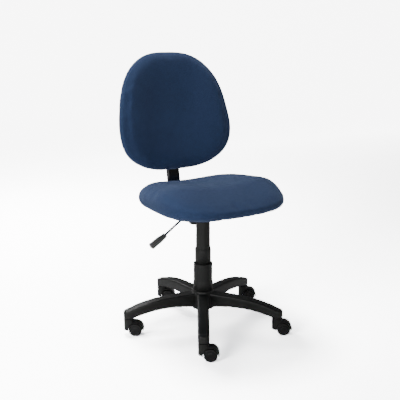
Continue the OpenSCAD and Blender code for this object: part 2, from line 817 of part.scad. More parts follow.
module back_cushion() {
  depth = back_foam - board_w0;
  steps = [[0.2, 0], [0.45, 0], [0.7, 0], [0.97, 0], [0.992, 0.12], [1, 0.35], [0.985, 0.6], [0.93, 0.82], [0.84, 0.95], [0.7, 1]];
  rings = [for (s = steps) back_ring(s[0], board_w0 - depth * s[1])];
  color("#30456b") in_back() loft(rings, [0, board_w0, 0], [0, board_w0 - depth, 0]);
}

module back_shell() {
  rim = board_w0 + 1;
  share = 1 - 2 * shell_inset / back_w;
  bulge = shell_bulge - rim;
  steps = [[1, 0], [0.995, 0.2], [0.965, 0.48], [0.9, 0.7], [0.78, 0.87], [0.6, 0.96], [0.35, 1]];
  slot_w = bar_w + 8;
  outer = [for (s = steps) back_ring(s[0] * share, rim + bulge * s[1])];
  inner = [for (s = steps) back_ring((s[0] - 2 * shell_t / back_w) * share, rim - 0.5 + (bulge - shell_t + 0.5) * s[1])];
  color("#171818") in_back() difference() {
    loft(reversed(outer), [0, shell_bulge, 0], [0, rim, 0]);
    loft(reversed(inner), [0, shell_bulge - shell_t, 0], [0, rim - 0.5, 0]);
    translate([-slot_w / 2, 15, -back_h]) cube([slot_w, bar_w_off + bar_t / 2 + 3 - 15, back_h + sleeve_v0]);
    translate([0, 20, knob_v]) rotate([-90, 0, 0]) cylinder(r = stud_r + 3, h = 40);
  }
}

module back_bracket() {
  l = sleeve_v1 - sleeve_v0;
  plate = 2;
  plate_w = board_w1 - 1.55;
  color("#3a3c3e") in_back() difference() {
    union() {
      translate([0, bar_w_off, sleeve_v0]) linear_extrude(height = l)
        square([sleeve_out_w, sleeve_out_t], center = true);
      translate([-bracket_x - 8, plate_w, sleeve_v0]) cube([2 * bracket_x + 16, plate, l]);
      translate([-12, plate_w, sleeve_v0]) cube([24, bar_w_off - sleeve_in_t / 2 - plate_w, l]);
    }
    translate([0, bar_w_off, sleeve_v0 - 1]) linear_extrude(height = l + 2) bar_section(sleeve_in_w, sleeve_in_t);
    translate([0, bar_w_off, knob_v]) rotate([-90, 0, 0]) cylinder(r = pad_r + 0.1, h = 30);
    at_bracket_screws() translate([0, 40, 0]) rotate([90, 0, 0]) cylinder(r = 2.3, h = 40);
  }
}

module bracket_screws() {
  color("#b9bcbe") in_back() at_bracket_screws() {
    translate([0, board_w1 + 2.6, 0]) rotate([90, 0, 0]) cylinder(r = 1.98, h = 11);
    translate([0, board_w1 + 3, 0]) rotate([90, 0, 0]) cylinder(r = 4, h = 2.5);
  }
}

height_pad_w = bar_w_off + bar_t / 2 + 0.04;

module height_pad() {
  color("#caa64a") in_back() translate([0, height_pad_w, knob_v]) rotate([-90, 0, 0]) cylinder(r = pad_r, h = pad_t);
}

module height_knob() {
  tip = height_pad_w + pad_t + 0.04;
  color("#191a1a") in_back() translate([0, tip, knob_v]) rotate([-90, 0, 0]) clamp_knob(shell_bulge + 2 - tip);
}

// ---- all nodes ----

five_star_base();
hub_ring();
caster_stems();
for (k = [1:ARMS]) {
  caster_hood(k - 1);
  caster_axle(k - 1);
  caster_wheel(k - 1, -1);
  caster_wheel(k - 1, 1);
}
column_tube();
guide_bushing();
bearing_race();
thrust_bearing();
piston_rod();
retaining_clip();
gas_cylinder();
valve_button();
cover_lower();
cover_middle();
cover_upper();
mechanism_pan();
bar_sleeve();
lever_pin();
lever_rod();
lever_grip();
depth_pad();
depth_knob();
back_bar();
bar_end_caps();
seat_board();
seat_under_cover();
seat_cushion();
seat_bolts();
tee_nuts();
back_board();
back_cushion();
back_shell();
back_bracket();
bracket_screws();
height_pad();
height_knob();
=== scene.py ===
import math

import bmesh
import bpy
import numpy as np
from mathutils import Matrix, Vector


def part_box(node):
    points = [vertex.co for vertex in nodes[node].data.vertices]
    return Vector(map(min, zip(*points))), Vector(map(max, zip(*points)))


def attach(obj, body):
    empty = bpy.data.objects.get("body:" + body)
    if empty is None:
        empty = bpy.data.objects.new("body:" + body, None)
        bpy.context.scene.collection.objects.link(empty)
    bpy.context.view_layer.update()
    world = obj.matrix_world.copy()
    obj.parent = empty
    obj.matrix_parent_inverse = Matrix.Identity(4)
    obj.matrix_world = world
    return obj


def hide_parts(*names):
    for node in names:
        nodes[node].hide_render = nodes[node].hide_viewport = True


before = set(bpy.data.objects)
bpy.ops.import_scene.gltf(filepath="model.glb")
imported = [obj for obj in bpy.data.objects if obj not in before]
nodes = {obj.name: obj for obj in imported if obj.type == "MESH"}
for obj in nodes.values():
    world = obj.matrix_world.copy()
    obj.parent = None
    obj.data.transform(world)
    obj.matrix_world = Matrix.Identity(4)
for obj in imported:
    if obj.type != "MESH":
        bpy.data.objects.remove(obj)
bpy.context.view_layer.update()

# ---------------------------------------------------------------------------------------------
# Studio: a pale sweep of floor, a large soft lamp on the left, weaker ones on the right and in
# front, one overhead and one behind. The camera stands to the left of the front, above the seat.
# ---------------------------------------------------------------------------------------------
CAMERA_TURN = math.radians(-30.5)
CAMERA_AWAY = 2.254
CAMERA_HIGH = 1.065
CAMERA_DIP = math.radians(15.82)
LENS = 56.9
SHIFT = (-0.0075, 0.0449)
PAPER_TONE = 0.8
PAPER_GAIN = 13.0
PAPER_GLOW = 6.0
GLOW_STARTS, GLOW_FULL = 0.6, 3.5

lens = bpy.data.cameras.new("camera")
lens.lens = LENS
lens.shift_x, lens.shift_y = SHIFT
camera = bpy.data.objects.new("camera", lens)
camera.location = (CAMERA_AWAY * math.sin(CAMERA_TURN), -CAMERA_AWAY * math.cos(CAMERA_TURN), CAMERA_HIGH)
camera.rotation_euler = (math.pi / 2 - CAMERA_DIP, 0.0, CAMERA_TURN)
bpy.context.scene.collection.objects.link(camera)
bpy.context.scene.camera = camera


def put_mesh(name, points, faces):
    """A mesh object at the origin from an array of points and a list of faces, shaded smooth."""
    mesh = bpy.data.meshes.new(name)
    places = np.asarray(points, float).reshape(-1, 3).tolist()
    mesh.from_pydata(places, [], [tuple(map(int, f)) for f in faces])
    mesh.validate()
    mesh.polygons.foreach_set("use_smooth", [True] * len(mesh.polygons))
    mesh.update()
    thing = bpy.data.objects.new(name, mesh)
    bpy.context.scene.collection.objects.link(thing)
    return thing


def studio_sweep():
    """A floor that curves up into a wall far behind: a straight run, a quarter circle, then a
    straight rise."""
    half, front, run, bend, rise = 9.0, -8.0, 5.0, 2.5, 5.0
    turn = np.linspace(0, math.pi / 2, 17)
    y = np.concatenate([[front], run + bend * np.sin(turn), [run + bend]])
    z = np.concatenate([[0.0], bend * (1 - np.cos(turn)), [bend + rise]])
    rows = len(y)
    points = np.zeros((rows, 2, 3))
    points[:, 0, 0], points[:, 1, 0] = -half, half
    points[:, :, 1], points[:, :, 2] = y[:, None], z[:, None]
    faces = [(2 * i, 2 * i + 1, 2 * i + 3, 2 * i + 2) for i in range(rows - 1)]
    return put_mesh("studio_floor", points, faces)


def soft_lamp(name, place, size, power, target=(0, 0, 0.5)):
    """A rectangular area lamp of the size at the place, turned to face the target."""
    lamp = bpy.data.lights.new(name, "AREA")
    lamp.shape = "RECTANGLE"
    lamp.size, lamp.size_y = size
    lamp.energy = power
    holder = bpy.data.objects.new(name, lamp)
    holder.location = place
    holder.rotation_euler = (Vector(target) - Vector(place)).to_track_quat("-Z", "Y").to_euler()
    bpy.context.scene.collection.objects.link(holder)


floor = studio_sweep()
# Paper that gives the chair a plain pale bounce, and shows itself brighter, with a glow that fades in
# towards the wall.
paper = bpy.data.materials.new("studio_paper")
paper.use_nodes = True
sheet = paper.node_tree
seen = sheet.nodes.new("ShaderNodeLightPath")
bounced = sheet.nodes["Principled BSDF"]
bounced.inputs["Base Color"].default_value = (PAPER_TONE, PAPER_TONE, PAPER_TONE, 1)
bounced.inputs["Roughness"].default_value = 0.9
shown = sheet.nodes.new("ShaderNodeBsdfDiffuse")
shown.inputs["Color"].default_value = (PAPER_GAIN, PAPER_GAIN, PAPER_GAIN, 1)
lit = sheet.nodes.new("ShaderNodeEmission")
spot = sheet.nodes.new("ShaderNodeTexCoord")
depth = sheet.nodes.new("ShaderNodeSeparateXYZ")
fade = sheet.nodes.new("ShaderNodeMapRange")
for label, value in (("From Min", GLOW_STARTS), ("From Max", GLOW_FULL), ("To Min", 0.0),
                     ("To Max", PAPER_GLOW)):
    fade.inputs[label].default_value = value
sheet.links.new(spot.outputs["Object"], depth.inputs[0])
sheet.links.new(depth.outputs["Y"], fade.inputs["Value"])
sheet.links.new(fade.outputs["Result"], lit.inputs["Strength"])
both = sheet.nodes.new("ShaderNodeAddShader")
pick = sheet.nodes.new("ShaderNodeMixShader")
sheet.links.new(shown.outputs[0], both.inputs[0])
sheet.links.new(lit.outputs[0], both.inputs[1])
sheet.links.new(seen.outputs["Is Camera Ray"], pick.inputs[0])
sheet.links.new(bounced.outputs[0], pick.inputs[1])
sheet.links.new(both.outputs[0], pick.inputs[2])
sheet.links.new(pick.outputs[0], sheet.nodes["Material Output"].inputs["Surface"])
floor.data.materials.append(paper)

world = bpy.data.worlds.new("studio_air")
world.use_nodes = True
world.node_tree.nodes["Background"].inputs["Color"].default_value = (1, 1, 1, 1)
world.node_tree.nodes["Background"].inputs["Strength"].default_value = 0.10
bpy.context.scene.world = world
soft_lamp("lamp_left", (-3.0, -0.9, 1.6), (1.0, 1.8), 46)
soft_lamp("lamp_right", (2.8, -1.2, 1.4), (0.8, 1.6), 5)
soft_lamp("lamp_top", (-0.2, 0.60, 2.7), (0.7, 0.7), 30)
soft_lamp("lamp_front", (-1.3, -2.8, 0.8), (1.0, 1.0), 15)
soft_lamp("lamp_rear", (-0.4, 2.4, 1.9), (1.4, 0.6), 24)


# ---------------------------------------------------------------------------------------------
# Five-star base: one injection moulding in glass-filled nylon, with five arched arms that are
# hollow below, a hub with a steel ring inside, and a socket for a caster stem in each tip.
# ---------------------------------------------------------------------------------------------
def new_group(name, inputs, outputs):
    """A shader node group with inputs [(name, kind, default)] and outputs [(name, kind)]."""
    tree = bpy.data.node_groups.new(name, "ShaderNodeTree")
    kinds = {"float": "NodeSocketFloat", "vector": "NodeSocketVector"}
    for label, kind, default in inputs:
        socket = tree.interface.new_socket(name=label, in_out="INPUT", socket_type=kinds[kind])
        if default is not None:
            socket.default_value = default
    for label, kind in outputs:
        tree.interface.new_socket(name=label, in_out="OUTPUT", socket_type=kinds[kind])
    return tree, tree.nodes.new("NodeGroupInput"), tree.nodes.new("NodeGroupOutput")


def math_node(tree, how, a, b=None):
    """A Math node whose two inputs are sockets or numbers. Returns its output socket."""
    node = tree.nodes.new("ShaderNodeMath")
    node.operation = how
    for i, v in enumerate((a, b)):
        if v is None:
            continue
        if isinstance(v, (int, float)):
            node.inputs[i].default_value = v
        else:
            tree.links.new(v, node.inputs[i])
    return node.outputs[0]


def noise_node(tree, vector, scale, detail=2.0, rough=0.5):
    """Soft noise of the scale per metre at the vector. Returns its output socket."""
    node = tree.nodes.new("ShaderNodeTexNoise")
    node.inputs["Scale"].default_value = scale
    node.inputs["Detail"].default_value = detail
    node.inputs["Roughness"].default_value = rough
    tree.links.new(vector, node.inputs["Vector"])
    return node.outputs["Fac"]


def range_node(tree, value, low, high, to_low, to_high):
    """The value taken from low..high to to_low..to_high in a straight line and held at its ends."""
    node = tree.nodes.new("ShaderNodeMapRange")
    tree.links.new(value, node.inputs["Value"])
    for label, v in (("From Min", low), ("From Max", high), ("To Min", to_low), ("To Max", to_high)):
        node.inputs[label].default_value = v
    return node.outputs["Result"]


def make_grain_group():
    """Spark-eroded mould grain: pebbles from a cell pattern with soft noise over them, and slow
    patches of gloss."""
    tree, start, end = new_group(
        "mould_grain",
        [("Vector", "vector", None), ("Pebbles per metre", "float", 1400.0)],
        [("Height", "float"), ("Patches", "float")],
    )
    cells = tree.nodes.new("ShaderNodeTexVoronoi")
    tree.links.new(start.outputs["Vector"], cells.inputs["Vector"])
    tree.links.new(start.outputs["Pebbles per metre"], cells.inputs["Scale"])
    soft = noise_node(tree, start.outputs["Vector"], 420.0, 3.0)
    soft_share = range_node(tree, soft, 0.3, 0.7, 0.5, 1.0)
    height = math_node(tree, "MULTIPLY", cells.outputs["Distance"], soft_share)
    patches = noise_node(tree, start.outputs["Vector"], 16.0, 4.0, 0.6)
    tree.links.new(height, end.inputs["Height"])
    tree.links.new(range_node(tree, patches, 0.32, 0.68, 0.0, 1.0), end.inputs["Patches"])
    return tree


def make_wear_group():
    """Rubbed edges: a mask that is 1 on convex edges, broken up by noise, and a little settled dust
    on top faces."""
    tree, start, end = new_group(
        "rubbed_edges",
        [("Vector", "vector", None), ("Normal", "vector", None)],
        [("Edge", "float"), ("Dust", "float")],
    )
    shape = tree.nodes.new("ShaderNodeNewGeometry")
    breakup = noise_node(tree, start.outputs["Vector"], 90.0, 4.0, 0.65)
    edge = range_node(tree, shape.outputs["Pointiness"], 0.51, 0.58, 0.0, 1.0)
    split = tree.nodes.new("ShaderNodeSeparateXYZ")
    tree.links.new(start.outputs["Normal"], split.inputs[0])
    facing = range_node(tree, split.outputs["Z"], 0.55, 1.0, 0.0, 1.0)
    tree.links.new(math_node(tree, "MULTIPLY", edge, breakup), end.inputs["Edge"])
    tree.links.new(math_node(tree, "MULTIPLY", facing, breakup), end.inputs["Dust"])
    return tree


grain_group = make_grain_group()
wear_group = make_wear_group()


def group_node(tree, group, **values):
    """The group placed in the material, with its own values; an underscore stands for a space."""
    node = tree.nodes.new("ShaderNodeGroup")
    node.node_tree = group
    for label, v in values.items():
        node.inputs[label.replace("_", " ")].default_value = v
    return node


def mix_colors(tree, mask, first, second):
    """The first colour where the mask is 0 and the second where it is 1. Returns the output socket."""
    node = tree.nodes.new("ShaderNodeMix")
    node.data_type, node.blend_type = "RGBA", "MIX"
    tree.links.new(mask, node.inputs["Factor"])
    for label, v in (("A", first), ("B", second)):
        socket = [s for s in node.inputs if s.name == label and s.type == "RGBA"][0]
        if isinstance(v, tuple):
            socket.default_value = (*v, 1.0)
        else:
            tree.links.new(v, socket)
    return [s for s in node.outputs if s.type == "RGBA"][0]


DARK_PATCH = 0.88
EDGE_GAIN = 1.6
DUST_ROUGHNESS = 0.12
COAT_ROUGHNESS = 0.12
GRAIN_DEPTH = 0.0003


def hard_material(name, color, gloss, metallic=0.0, grain=0.15, pebbles=1400.0, coat=0.0):
    """A moulded or painted surface: two close tones in patches, lighter rubbed edges, grain in the
    normal. Gloss is the pair of roughnesses that the patches run between."""
    material = bpy.data.materials.new(name)
    material.use_nodes = True
    tree = material.node_tree
    surface = tree.nodes["Principled BSDF"]
    place = tree.nodes.new("ShaderNodeTexCoord")
    pebble = group_node(tree, grain_group, Pebbles_per_metre=pebbles)
    wear = group_node(tree, wear_group)
    tree.links.new(place.outputs["Object"], pebble.inputs["Vector"])
    tree.links.new(place.outputs["Object"], wear.inputs["Vector"])
    tree.links.new(place.outputs["Normal"], wear.inputs["Normal"])
    dark = tuple(DARK_PATCH * c for c in color)
    tone = mix_colors(tree, pebble.outputs["Patches"], dark, color)
    rubbed = tuple(min(1.0, EDGE_GAIN * c + 0.01) for c in color)
    tone = mix_colors(tree, wear.outputs["Edge"], tone, rubbed)
    tree.links.new(tone, surface.inputs["Base Color"])
    rough = range_node(tree, pebble.outputs["Patches"], 0.0, 1.0, *gloss)
    dust = math_node(tree, "MULTIPLY", wear.outputs["Dust"], DUST_ROUGHNESS)
    tree.links.new(math_node(tree, "ADD", rough, dust), surface.inputs["Roughness"])
    surface.inputs["Metallic"].default_value = metallic
    surface.inputs["Coat Weight"].default_value = coat
    surface.inputs["Coat Roughness"].default_value = COAT_ROUGHNESS
    bump = tree.nodes.new("ShaderNodeBump")
    bump.inputs["Strength"].default_value = grain
    bump.inputs["Distance"].default_value = GRAIN_DEPTH
    tree.links.new(pebble.outputs["Height"], bump.inputs["Height"])
    tree.links.new(bump.outputs["Normal"], surface.inputs["Normal"])
    return material


def paint_node(material, *names):
    """Gives CAD nodes their material."""
    for name in names:
        mesh = nodes[name].data
        mesh.materials.clear()
        mesh.materials.append(material)


nylon = hard_material("base_nylon", (0.010, 0.011, 0.010), (0.34, 0.48))
zinc = hard_material("zinc_plate", (0.62, 0.63, 0.64), (0.28, 0.42), metallic=1.0, grain=0.05)


def moulded_copy(node, name, body, material, voxel, passes):
    """A copy of a CAD node with its corners rounded as a mould rounds them: merged, remeshed evenly,
    then relaxed. Each pass moves a point half way to the middle of its neighbours, so an edge gains a
    radius of some voxels."""
    thing = bpy.data.objects.new(name, nodes[node].data.copy())
    bpy.context.scene.collection.objects.link(thing)
    shape = bmesh.new()
    shape.from_mesh(thing.data)
    bmesh.ops.remove_doubles(shape, verts=shape.verts, dist=1e-6)
    shape.to_mesh(thing.data)
    shape.free()
    thing.data.materials.clear()
    thing.data.materials.append(material)
    remesh = thing.modifiers.new("even_mesh", "REMESH")
    remesh.mode, remesh.voxel_size, remesh.use_smooth_shade = "VOXEL", voxel, True
    relax = thing.modifiers.new("rounded", "SMOOTH")
    relax.factor, relax.iterations = 0.5, passes
    with bpy.context.temp_override(object=thing, active_object=thing, selected_objects=[thing]):
        for modifier in (remesh, relax):
            bpy.ops.object.modifier_apply(modifier=modifier.name)
    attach(thing, body)
    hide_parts(node)
    return thing


moulded_copy("five_star_base", "star_base", "base", nylon, 0.0022, 5)
paint_node(zinc, "hub_ring", "caster_stems")

# ---------------------------------------------------------------------------------------------
# Casters: each has a moulded hood that turns on the stem, a steel axle pressed through its web,
# and two nylon wheels. The five are alike and stand trailing to one side.
# ---------------------------------------------------------------------------------------------
hood_plastic = hard_material("hood_plastic", (0.008, 0.009, 0.008), (0.28, 0.42))
wheel_plastic = hard_material("wheel_nylon", (0.005, 0.005, 0.005), (0.26, 0.38), grain=0.08)
axle_steel = hard_material("axle_steel", (0.6, 0.61, 0.62), (0.2, 0.3), metallic=1.0, grain=0.03)


def soft_corners(corners, radius, steps=5):
    """A polyline with each inner corner turned into a curve: a quadratic from a point radius before
    the corner to a point radius after it, or half way along a side that is too short for that."""
    corners = np.asarray(corners, float)
    before, corner, after = corners[:-2], corners[1:-1], corners[2:]
    to_before, to_after = before - corner, after - corner
    long_before = np.linalg.norm(to_before, axis=1, keepdims=True)
    long_after = np.linalg.norm(to_after, axis=1, keepdims=True)
    cut = np.minimum(radius, 0.5 * np.minimum(long_before, long_after))
    start = corner + to_before / long_before * cut
    end = corner + to_after / long_after * cut
    t = np.linspace(0, 1, steps)[None, :, None]
    curve = (1 - t) ** 2 * start[:, None] + 2 * t * (1 - t) * corner[:, None] + t ** 2 * end[:, None]
    return np.concatenate([corners[:1], curve.reshape(-1, corners.shape[1]), corners[-1:]])


def grid_faces(rows, around, closed_rows=False):
    """Quads of a grid of rows of points that close on themselves, with the last row joined to the
    first if asked."""
    i = np.arange(rows if closed_rows else rows - 1)[:, None]
    j = np.arange(around)[None, :]
    up, over = (i + 1) % rows, (j + 1) % around
    quads = np.stack([i * around + j, i * around + over, up * around + over, up * around + j], -1)
    return quads.reshape(-1, 4)


def revolved(name, profile, around, to_world, closed=True):
    """A body of revolution: each (radius, height) of the profile goes round its axis, then
    to_world(x, y, z) places it. A closed profile joins its last point to its first; an open one starts
    and ends near the axis and is capped."""
    profile = np.asarray(profile, float)
    turn = np.linspace(0, 2 * math.pi, around, endpoint=False)
    x = profile[:, :1] * np.cos(turn)
    y = profile[:, :1] * np.sin(turn)
    z = np.repeat(profile[:, 1:2], around, axis=1)
    points = to_world(x, y, z).reshape(-1, 3)
    faces = [tuple(q) for q in grid_faces(len(profile), around, closed)]
    if not closed:
        faces.append(tuple(range(around - 1, -1, -1)))
        faces.append(tuple((len(profile) - 1) * around + np.arange(around)))
    return put_mesh(name, points, faces)


def outwards(thing):
    """Turns every face of a closed mesh to point outwards."""
    shape = bmesh.new()
    shape.from_mesh(thing.data)
    bmesh.ops.recalc_face_normals(shape, faces=shape.faces)
    shape.to_mesh(thing.data)
    shape.free()
    return thing


# The direction of every axle, from straight back towards the right.
CASTER_TRAIL = math.radians(30)


def axle_frame(k):
    """Where caster k's wheels are: the middle of its axle, from the CAD axle's own mesh, and the
    axle's direction."""
    points = np.array([v.co for v in nodes[f"caster_axle_{k}"].data.vertices])
    middle = points.mean(0)
    return middle, np.array([math.sin(CASTER_TRAIL), math.cos(CASTER_TRAIL), 0.0])


WHEEL_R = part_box("caster_wheel_1a")[1].z / 2
WHEEL_W = 0.0176
WHEEL_GAP = 0.0038
# From the bore outwards over the tread and back over the outer face, which has a rim, a dished web
# and a hub cap.
WHEEL_PROFILE = [(0.0031, 0.0), (WHEEL_R - 0.001, 0.0), (WHEEL_R, 0.0016), (WHEEL_R, WHEEL_W * 0.5),
                 (WHEEL_R - 0.0004, WHEEL_W - 0.0022), (WHEEL_R - 0.0024, WHEEL_W),
                 (WHEEL_R - 0.0052, WHEEL_W), (WHEEL_R - 0.0062, WHEEL_W - 0.0013),
                 (0.0102, WHEEL_W - 0.0016), (0.0092, WHEEL_W - 0.0006),
                 (0.0050, WHEEL_W - 0.0003), (0.0002, WHEEL_W - 0.0002)]


def caster_wheel(k, side, letter):
    """One wheel, revolved about the axle, on the side of the hood's web that the letter names."""
    middle, along = axle_frame(k)
    level = np.array([-along[1], along[0], 0.0])

    def to_world(x, y, z):
        return (middle + side * (WHEEL_GAP + z)[..., None] * along + x[..., None] * level
                + y[..., None] * np.array([0, 0, 1.0]))

    inner = [(0.0002, 0.0)]
    profile = np.concatenate([inner, soft_corners(WHEEL_PROFILE, 0.0012)])
    wheel = outwards(revolved(f"wheel_{k}{letter}_tread", profile, 72, to_world, closed=False))
    wheel.data.materials.append(wheel_plastic)
    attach(wheel, f"wheel_{k}{letter}")
    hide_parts(f"caster_wheel_{k}{letter}")


for k in range(1, 6):
    moulded_copy(f"caster_hood_{k}", f"hood_{k}", f"caster_{k}", hood_plastic, 0.0009, 3)
    paint_node(axle_steel, f"caster_axle_{k}")
    caster_wheel(k, -1, "a")
    caster_wheel(k, 1, "b")

# ---------------------------------------------------------------------------------------------
# Gas lift and its cover: a painted steel tube with a plastic bushing, the gas cylinder and rod
# inside it, and three plastic sleeves that slide into each other as the seat goes down.
# ---------------------------------------------------------------------------------------------
column_paint = hard_material("column_paint", (0.010, 0.010, 0.011), (0.22, 0.34), coat=0.3,
                             grain=0.04)
cover_plastic = hard_material("cover_plastic", (0.010, 0.011, 0.010), (0.40, 0.52), grain=0.25)
white_plastic = hard_material("bushing_acetal", (0.70, 0.70, 0.66), (0.35, 0.45), grain=0.05)
paint_node(column_paint, "column_tube", "gas_cylinder")


def upright(x, y, z):
    """Places a body of revolution on the column's own axis."""
    return np.stack([x, y, z], -1)


def cover_sleeve(node, name, body, wall, foot_flare, bead, spread):
    """One sleeve of the cover, revolved and stood proud of its solid by the spread: its foot may
    flare, and a groove as deep as the bead runs below its mouth."""
    low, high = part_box(node)
    r, z0, z1 = high.x + spread, low.z, high.z
    mouth = r - foot_flare
    corners = [(r, z0), (r - 0.0004, z0 + 0.026), (mouth, z0 + 0.040)] if foot_flare else [(r, z0)]
    corners += [(mouth, z1 - 0.0075), (mouth - bead, z1 - 0.0068), (mouth - bead, z1 - 0.0056),
                (mouth, z1 - 0.0049), (mouth, z1), (mouth - wall, z1), (mouth - wall, z1 - 0.006),
                (mouth - wall, z0)]
    sleeve = outwards(revolved(name, soft_corners(corners, 0.0009), 96, upright))
    sleeve.data.materials.append(cover_plastic)
    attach(sleeve, body)
    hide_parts(node)


cover_sleeve("cover_lower", "lower_sleeve", "base",
             wall=0.0030, foot_flare=0.0022, bead=0.0004, spread=0.0025)
cover_sleeve("cover_middle", "middle_sleeve", "cover_stage",
             wall=0.0016, foot_flare=0.0, bead=0.0003, spread=0.0008)
paint_node(cover_plastic, "cover_upper")
paint_node(white_plastic, "guide_bushing")
paint_node(axle_steel, "piston_rod", "thrust_bearing")
paint_node(zinc, "bearing_race", "retaining_clip", "valve_button")

# ---------------------------------------------------------------------------------------------
# Mechanism: a pressed and powder-coated steel pan under the seat board, with the release lever
# on a pin, the sleeve for the back bar, and the clamp knob for its depth.
# ---------------------------------------------------------------------------------------------
powder_coat = hard_material("powder_coat", (0.010, 0.010, 0.010), (0.38, 0.5), grain=0.3,
                            pebbles=2200.0)
lever_paint = hard_material("lever_paint", (0.006, 0.006, 0.006), (0.2, 0.3), coat=0.4, grain=0.03)
grip_plastic = hard_material("grip_plastic", (0.085, 0.085, 0.08), (0.12, 0.2), coat=0.8, grain=0.03)
knob_plastic = hard_material("knob_plastic", (0.007, 0.007, 0.007), (0.38, 0.5), grain=0.2)
pad_brass = hard_material("pad_brass", (0.75, 0.60, 0.30), (0.3, 0.4), metallic=1.0, grain=0.04)
paint_node(powder_coat, "mechanism_pan", "bar_sleeve", "back_bracket", "seat_bolts")
paint_node(zinc, "lever_pin", "tee_nuts", "bracket_screws")
paint_node(lever_paint, "lever_rod")


GRIP_SLOPE = math.radians(31)
GRIP_HALF_WIDTH, GRIP_HALF_HEIGHT = 0.0125, 0.0104
GRIP_CORNERS = 3.0
GRIP_SPINE = 0.0011


def lever_grip():
    """The grip: a superellipse section carried along its axis. Its size is a smooth curve of the
    share of the length, rounded at both ends, and a bell-shaped spine stands along the top."""
    low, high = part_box("lever_grip")
    reach = (high.x - low.x) * 0.93
    start = np.array([high.x - 0.0035, 0.0, high.z - 0.0065])
    along = np.array([-math.cos(GRIP_SLOPE), 0.0, -math.sin(GRIP_SLOPE)])
    up = np.array([-math.sin(GRIP_SLOPE), 0.0, math.cos(GRIP_SLOPE)])
    across = np.array([0.0, 1.0, 0.0])
    length = reach / math.cos(GRIP_SLOPE)
    rows, around = 60, 64
    s = np.linspace(0, 1, rows)[:, None]
    belly = 0.74 + 0.26 * np.sin(math.pi / 2 * np.clip(s / 0.6, 0, 1)) ** 1.3
    near_end = (1 - np.clip((0.04 - s) / 0.04, 0, 1) ** 2.2) ** 0.5
    far_end = (1 - np.clip((s - 0.93) / 0.07, 0, 1) ** 2.4) ** 0.42
    size = belly * (near_end * far_end)
    turn = np.linspace(0, 2 * math.pi, around, endpoint=False)[None, :]
    c, d = np.cos(turn), np.sin(turn)
    r = (np.abs(c) ** GRIP_CORNERS + np.abs(d) ** GRIP_CORNERS) ** (-1 / GRIP_CORNERS)
    wide, tall = GRIP_HALF_WIDTH * r * c * size, GRIP_HALF_HEIGHT * r * d * size
    bell = np.exp(-((turn - math.pi / 2) / 0.22) ** 2)
    tall = tall + GRIP_SPINE * bell * np.clip(np.sin(math.pi * s), 0, 1) ** 0.5
    points = start + length * s[..., None] * along + wide[..., None] * across + tall[..., None] * up
    faces = [tuple(q) for q in grid_faces(rows, around)]
    faces += [tuple(range(around - 1, -1, -1)), tuple((rows - 1) * around + np.arange(around))]
    grip = outwards(put_mesh("grip", points, faces))
    grip.data.materials.append(grip_plastic)
    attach(grip, "release_lever")
    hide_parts("lever_grip")


lever_grip()
paint_node(pad_brass, "depth_pad", "height_pad")
moulded_copy("depth_knob", "depth_handwheel", "depth_turn", knob_plastic, 0.0009, 3)
moulded_copy("height_knob", "height_handwheel", "height_turn", knob_plastic, 0.0009, 3)

# ---------------------------------------------------------------------------------------------
# Back bar: flat oval steel tube, bent once and finished in gloss black, with plastic plugs.
# ---------------------------------------------------------------------------------------------
bar_gloss = hard_material("bar_gloss", (0.004, 0.004, 0.005), (0.10, 0.16), coat=0.8, grain=0.02)
BACK_LEAN = math.radians(10.5)
BACK_PLACE = np.array([0.0, 0.252, 0.795])
# The bar's own middle line behind the back's, and the radius of its bend.
BAR_OFF = 0.026
BAR_BEND = 0.060
BAR_THICK = 0.014
BAR_WALL = 0.002


def back_bar():
    """The bar: an oval of two half circles and two flats, carried along a level run, an arc and a
    leaning run. The arc's angle is a quarter turn less the lean, and the same section a wall smaller
    makes the bore."""
    low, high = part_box("back_bar")
    wide = high.x - low.x
    level_z = low.z + BAR_THICK / 2
    lean = math.pi / 2 - BACK_LEAN
    foot_y = BACK_PLACE[1] + BAR_OFF * math.cos(BACK_LEAN)
    foot_y += (level_z - BACK_PLACE[2] + BAR_OFF * math.sin(BACK_LEAN)) * math.tan(BACK_LEAN)
    bend_y = foot_y - BAR_BEND * math.tan(lean / 2)
    turn = np.linspace(0, lean, 40)
    top = high.z - level_z - BAR_THICK / 2 * math.sin(BACK_LEAN) - BAR_BEND * (1 - math.cos(lean))
    run = np.linspace(0.02, 1, 12) * (top / math.sin(lean))
    y = np.concatenate([np.linspace(low.y, bend_y, 12)[:-1], bend_y + BAR_BEND * np.sin(turn),
                        bend_y + BAR_BEND * math.sin(lean) + run * math.cos(lean)])
    z = np.concatenate([np.full(11, level_z), level_z + BAR_BEND * (1 - np.cos(turn)),
                        level_z + BAR_BEND * (1 - math.cos(lean)) + run * math.sin(lean)])
    slope = np.concatenate([np.zeros(11), turn, np.full(12, lean)])

    def skin(inset):
        half, r = (wide - BAR_THICK) / 2, BAR_THICK / 2 - inset
        angle = np.linspace(-math.pi / 2, math.pi / 2, 17)
        across = np.concatenate([half + r * np.cos(angle), -half - r * np.cos(angle)])
        out = np.concatenate([r * np.sin(angle), -r * np.sin(angle)])
        return np.stack([np.broadcast_to(across, (len(y), len(across))),
                         y[:, None] - out * np.sin(slope)[:, None],
                         z[:, None] + out * np.cos(slope)[:, None]], -1)

    rings = np.concatenate([skin(0.0), skin(BAR_WALL)[::-1]])
    faces = [tuple(q) for q in grid_faces(*rings.shape[:2], closed_rows=True)]
    bar = outwards(put_mesh("bar_tube", rings, faces))
    bar.data.materials.append(bar_gloss)
    edge = bar.modifiers.new("edge", "BEVEL")
    edge.width, edge.segments = 0.0005, 2
    edge.limit_method, edge.angle_limit = "ANGLE", math.radians(50)
    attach(bar, "bar_unit")
    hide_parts("back_bar")


back_bar()
paint_node(knob_plastic, "bar_end_caps")

